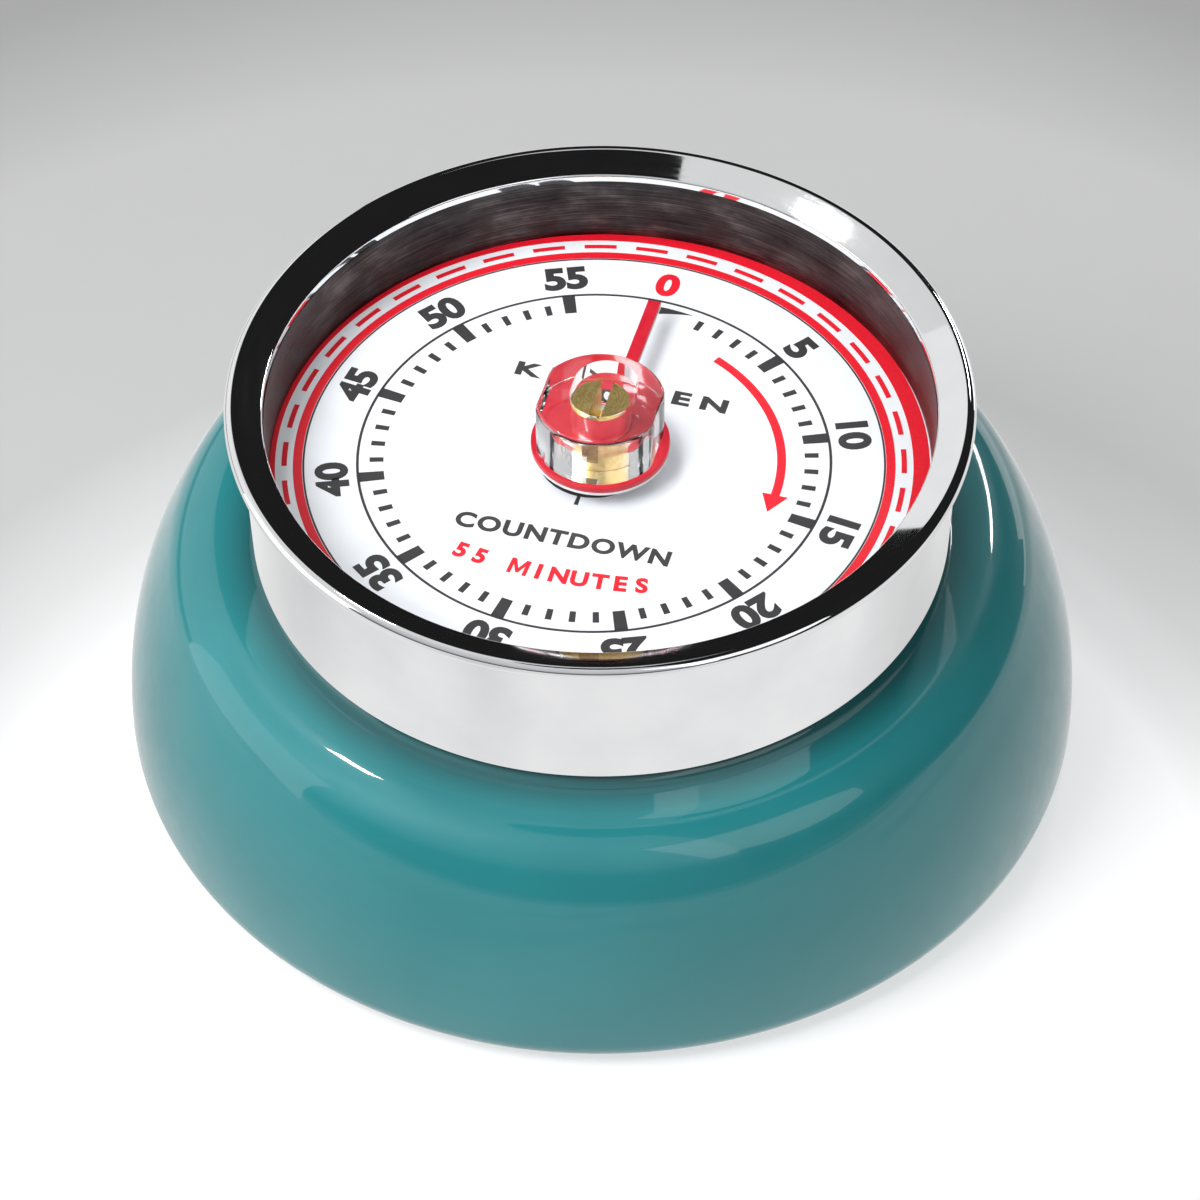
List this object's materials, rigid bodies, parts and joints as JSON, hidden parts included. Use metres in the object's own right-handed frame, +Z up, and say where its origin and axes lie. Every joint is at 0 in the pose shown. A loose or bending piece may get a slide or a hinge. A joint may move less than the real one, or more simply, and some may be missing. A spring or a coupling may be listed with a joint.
{
  "type": "mechanical kitchen timer",
  "caption": "Round wind-up kitchen timer: domed enamel case, chrome bezel, recessed minute dial, clear knob with red pointer, clockwork train and bell inside.",
  "frame": {"origin": "centre of the base's flat underside, on the knob's axis", "axes": "+Z up along the knob's axis, out of the dial; +Y the way the pointer points when it stands at 0"},
  "size_m": [0.07, 0.07, 0.032],
  "materials": {
    "enamel": "gloss",
    "chrome": "polished",
    "galvanised": "scratched satin",
    "dial_white": "satin",
    "bright_steel": "satin",
    "steel": "satin",
    "bell_steel": "bright",
    "magnet": "sintered",
    "brass": "satin",
    "clear_acrylic": "clear, polished",
    "red_paint": "satin",
    "black_plastic": "matte"
  },
  "bodies": {
    "case": {"body_shell": "enamel", "bezel": "chrome", "wall_ring": "galvanised", "dial_plate": "dial_white", "base_plate": "bright_steel", "magnets": "magnet", "base_screws": "steel", "base_posts": "steel", "front_plate": "brass", "back_plate": "brass", "plate_pillars": "steel", "pillar_nuts": "steel", "movement_screws": "steel", "bell": "bell_steel", "bell_post": "steel", "bell_nut": "steel", "mainspring": "steel", "spring_post": "steel", "lever_stud": "steel", "hammer_spring": "steel"},
    "knob_shaft": {"knob": "clear_acrylic", "pointer": "red_paint", "hub_sleeve": "black_plastic", "main_arbor": "brass", "ratchet_wheel": "steel", "cam_sleeve": "brass", "release_cam": "steel"},
    "great_wheel": {"main_wheel": "brass", "click_stud": "steel", "click_spring": "steel"},
    "click": {"click": "steel"},
    "second": {"second_wheel": "brass", "second_arbor": "steel"},
    "third": {"third_wheel": "brass", "third_arbor": "steel"},
    "escape": {"escape_wheel": "brass", "escape_arbor": "steel"},
    "pallets": {"pallet_lever": "brass", "pallet_pins": "steel", "pallet_arbor": "steel"},
    "release": {"release_lever": "steel"},
    "hammer": {"hammer_arbor": "steel", "hammer_arm": "steel", "hammer_head": "brass", "hammer_finger": "steel"}
  },
  "joints": [
    {"name": "escape_turn", "type": "hinge", "parent": "case", "child": "escape", "pos_m": [0.01449, -0.0055, 0.0207], "axis": [0, 0, 1], "range_deg": [0, 60696]},
    {"name": "knob_turn", "type": "hinge", "parent": "case", "child": "knob_shaft", "pos_m": [0, 0, 0.028], "axis": [0, 0, -1], "range_deg": [0, 337.2], "deforming": ["mainspring"]},
    {"name": "great_wheel_turn", "type": "hinge", "parent": "case", "child": "great_wheel", "pos_m": [0, 0, 0.0167], "axis": [0, 0, -1], "range_deg": [0, 337.2]},
    {"name": "second_turn", "type": "hinge", "parent": "case", "child": "second", "pos_m": [0, -0.014, 0.0189], "axis": [0, 0, 1], "range_deg": [0, 2023.2]},
    {"name": "third_turn", "type": "hinge", "parent": "case", "child": "third", "pos_m": [0.0089, -0.01269, 0.00995], "axis": [0, 0, -1], "range_deg": [0, 10116]},
    {"name": "pallet_rock", "type": "hinge", "parent": "case", "child": "pallets", "pos_m": [0.01598, 0.00073, 0.0216], "axis": [0, 0, 1], "range_deg": [-6, 6]},
    {"name": "release_rock", "type": "hinge", "parent": "case", "child": "release", "pos_m": [-0.00454, 0.01013, 0.0204], "axis": [0, 0, 1], "range_deg": [-6, 3]},
    {"name": "hammer_swing", "type": "hinge", "parent": "case", "child": "hammer", "pos_m": [-0.00946, 0.0135, 0.0057], "axis": [0, 0, 1], "range_deg": [-10, 2.5], "deforming": ["hammer_spring"]},
    {"name": "click_lift", "type": "hinge", "parent": "great_wheel", "child": "click", "pos_m": [-0.0052, -0.0052, 0.0176], "axis": [0, 0, 1], "range_deg": [0, 9], "deforming": ["click_spring"]}
  ],
  "couplings": [
    {"joint": "knob_turn", "follows": "escape_turn", "ratio": 0.0055556},
    {"joint": "great_wheel_turn", "follows": "escape_turn", "ratio": 0.0055556},
    {"joint": "second_turn", "follows": "escape_turn", "ratio": 0.033333},
    {"joint": "third_turn", "follows": "escape_turn", "ratio": 0.16667}
  ]
}
